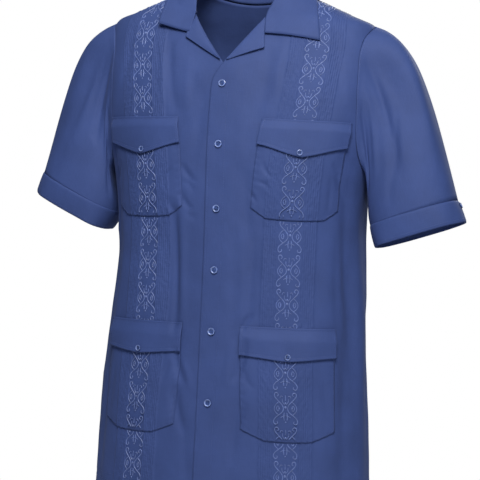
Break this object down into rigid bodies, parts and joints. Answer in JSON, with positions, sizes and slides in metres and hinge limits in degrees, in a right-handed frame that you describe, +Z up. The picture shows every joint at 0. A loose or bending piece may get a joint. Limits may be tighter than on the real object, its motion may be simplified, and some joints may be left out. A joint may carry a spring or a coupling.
{
  "type": "guayabera shirt",
  "caption": "Short-sleeved men's guayabera shirt, worn hollow form, with an open notched collar, buttoned front, flap patch pockets, bands of pintucks and strips of embroidery.",
  "frame": {"origin": "the middle of the neck, level with the neck end of the shoulder seams, where the wearer's shoulders and neck hold the shirt up", "axes": "+Z up, the front faces -Y, and the wearer's left side is +X"},
  "size_m": [0.7347, 0.2916, 0.841],
  "materials": {
    "cloth": "matte blue cotton blend with a little sheen",
    "button": "glossy dark blue"
  },
  "bodies": {
    "root": {"front_left": "cloth", "front_right": "cloth", "back": "cloth", "collar": "cloth", "lapel_left": "cloth", "lapel_right": "cloth", "sleeve_left": "cloth", "sleeve_right": "cloth", "cuff_left": "cloth", "cuff_right": "cloth", "pocket_chest_left": "cloth", "pocket_chest_right": "cloth", "pocket_lower_left": "cloth", "pocket_lower_right": "cloth", "flap_chest_left": "cloth", "flap_chest_right": "cloth", "flap_lower_left": "cloth", "flap_lower_right": "cloth", "button_chest_left": "button", "button_chest_right": "button", "button_lower_left": "button", "button_lower_right": "button", "button_cuff_left": "button", "button_cuff_right": "button", "button_front_1": "button", "button_front_2": "button", "button_front_3": "button", "button_front_4": "button", "button_front_5": "button", "button_front_6": "button"}
  },
  "joints": []
}
